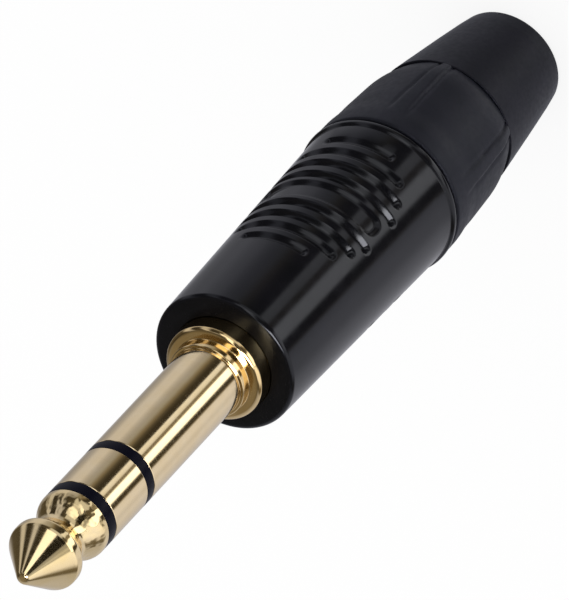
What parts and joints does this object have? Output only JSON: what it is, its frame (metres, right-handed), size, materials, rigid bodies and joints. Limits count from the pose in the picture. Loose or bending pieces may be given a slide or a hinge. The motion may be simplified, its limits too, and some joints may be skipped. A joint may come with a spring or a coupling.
{
  "type": "stereo jack plug",
  "caption": "Stereo 6.35 mm jack plug with a tip, ring and sleeve shank, a collar, a ribbed conical shell, an inner cable chuck and a fluted screw-on boot with a soft tail.",
  "frame": {"origin": "centre of the boot's rear face, on the axis of the plug", "axes": "+Z along the axis from the boot to the tip; the two ribbed finger grips face -Y and +Y"},
  "size_m": [0.0148, 0.0148, 0.0834],
  "materials": {
    "gold_contact": "polished pale gold plating on turned brass",
    "insulator": "moulded black, smooth",
    "tinned_tag": "stamped sheet, tinned for solder",
    "liner_plastic": "thin moulded tube",
    "shell_metal": "die-cast, gloss black plating",
    "chuck_plastic": "moulded off-white, satin",
    "nut_plastic": "moulded black, satin",
    "tail_rubber": "soft black moulding, dull satin"
  },
  "bodies": {
    "boot": {"boot_nut": "nut_plastic", "boot_tail": "tail_rubber"},
    "chuck": {"chuck": "chuck_plastic"},
    "plug": {"tip_contact": "gold_contact", "tip_insulator": "insulator", "ring_contact": "gold_contact", "ring_insulator": "insulator", "sleeve_contact": "gold_contact", "tag_washer": "insulator", "rear_bush": "insulator", "ground_tag": "tinned_tag", "ring_tag": "tinned_tag", "tip_tag": "tinned_tag", "insulating_sleeve": "liner_plastic", "shell": "shell_metal"}
  },
  "joints": [
    {"name": "boot_turn", "type": "hinge", "parent": "boot", "child": "chuck", "pos_m": [0, 0, 0.0226], "axis": [0, 0, 1], "range_deg": [0, 2520]},
    {"name": "shell_lift", "type": "slide", "parent": "chuck", "child": "plug", "axis": [0, 0, 1], "range_m": [0, 0.007]}
  ],
  "couplings": [
    {"joint": "boot_turn", "follows": "shell_lift", "rad_per_m": 6283.2}
  ]
}
